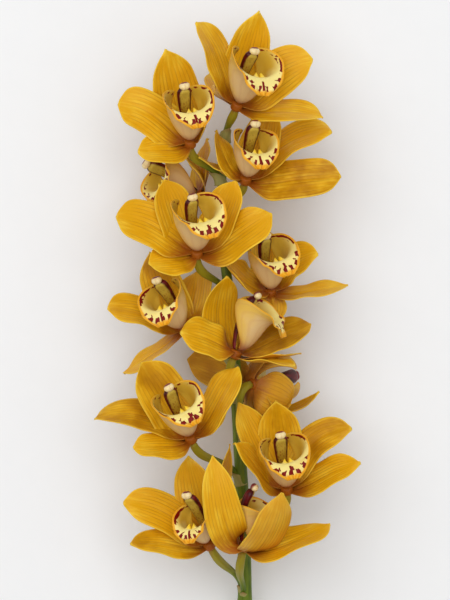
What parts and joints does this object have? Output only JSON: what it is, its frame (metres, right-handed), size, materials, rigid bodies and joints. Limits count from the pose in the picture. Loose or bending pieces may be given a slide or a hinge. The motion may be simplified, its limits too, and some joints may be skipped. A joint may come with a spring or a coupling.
{
  "type": "cymbidium orchid stem",
  "caption": "Cut cymbidium orchid stem with waxy golden blooms, cream lips spotted maroon and a green flower stalk, lying on a surface",
  "frame": {"origin": "on the surface under the middle of the stem's bounding box", "axes": "+Y along the stalk from the cut end to the tip, +Z up, +X to the right seen from above with +Y up"},
  "size_m": [0.1721, 0.5004, 0.1073],
  "materials": {
    "tepal_gold": "waxy satin petal with fine darker veins",
    "lip_cream": "waxy cream lip with maroon spots and a yellow rim",
    "column_maroon": "waxy dark maroon",
    "anther_ivory": "matte ivory",
    "stalk_green": "smooth satin green stem"
  },
  "bodies": {
    "root": {"flower_stalk": "stalk_green", "bloom_01_perianth": "tepal_gold", "bloom_01_lip": "lip_cream", "bloom_01_column": "column_maroon", "bloom_01_anther_cap": "anther_ivory", "bloom_02_perianth": "tepal_gold", "bloom_02_lip": "lip_cream", "bloom_02_column": "column_maroon", "bloom_02_anther_cap": "anther_ivory", "bloom_03_perianth": "tepal_gold", "bloom_03_lip": "lip_cream", "bloom_03_column": "column_maroon", "bloom_03_anther_cap": "anther_ivory", "bloom_04_perianth": "tepal_gold", "bloom_04_lip": "lip_cream", "bloom_04_column": "column_maroon", "bloom_04_anther_cap": "anther_ivory", "bloom_05_perianth": "tepal_gold", "bloom_05_lip": "lip_cream", "bloom_05_column": "column_maroon", "bloom_05_anther_cap": "anther_ivory", "bloom_06_perianth": "tepal_gold", "bloom_06_lip": "lip_cream", "bloom_06_column": "column_maroon", "bloom_06_anther_cap": "anther_ivory", "bloom_07_perianth": "tepal_gold", "bloom_07_lip": "lip_cream", "bloom_07_column": "column_maroon", "bloom_07_anther_cap": "anther_ivory", "bloom_08_perianth": "tepal_gold", "bloom_08_lip": "lip_cream", "bloom_08_column": "column_maroon", "bloom_08_anther_cap": "anther_ivory", "bloom_09_perianth": "tepal_gold", "bloom_09_lip": "lip_cream", "bloom_09_column": "column_maroon", "bloom_09_anther_cap": "anther_ivory", "bloom_10_perianth": "tepal_gold", "bloom_10_lip": "lip_cream", "bloom_10_column": "column_maroon", "bloom_10_anther_cap": "anther_ivory", "bloom_11_perianth": "tepal_gold", "bloom_11_lip": "lip_cream", "bloom_11_column": "column_maroon", "bloom_11_anther_cap": "anther_ivory", "bloom_12_perianth": "tepal_gold", "bloom_12_lip": "lip_cream", "bloom_12_column": "column_maroon", "bloom_12_anther_cap": "anther_ivory", "bloom_13_perianth": "tepal_gold", "bloom_13_lip": "lip_cream", "bloom_13_column": "column_maroon", "bloom_13_anther_cap": "anther_ivory"}
  },
  "joints": []
}
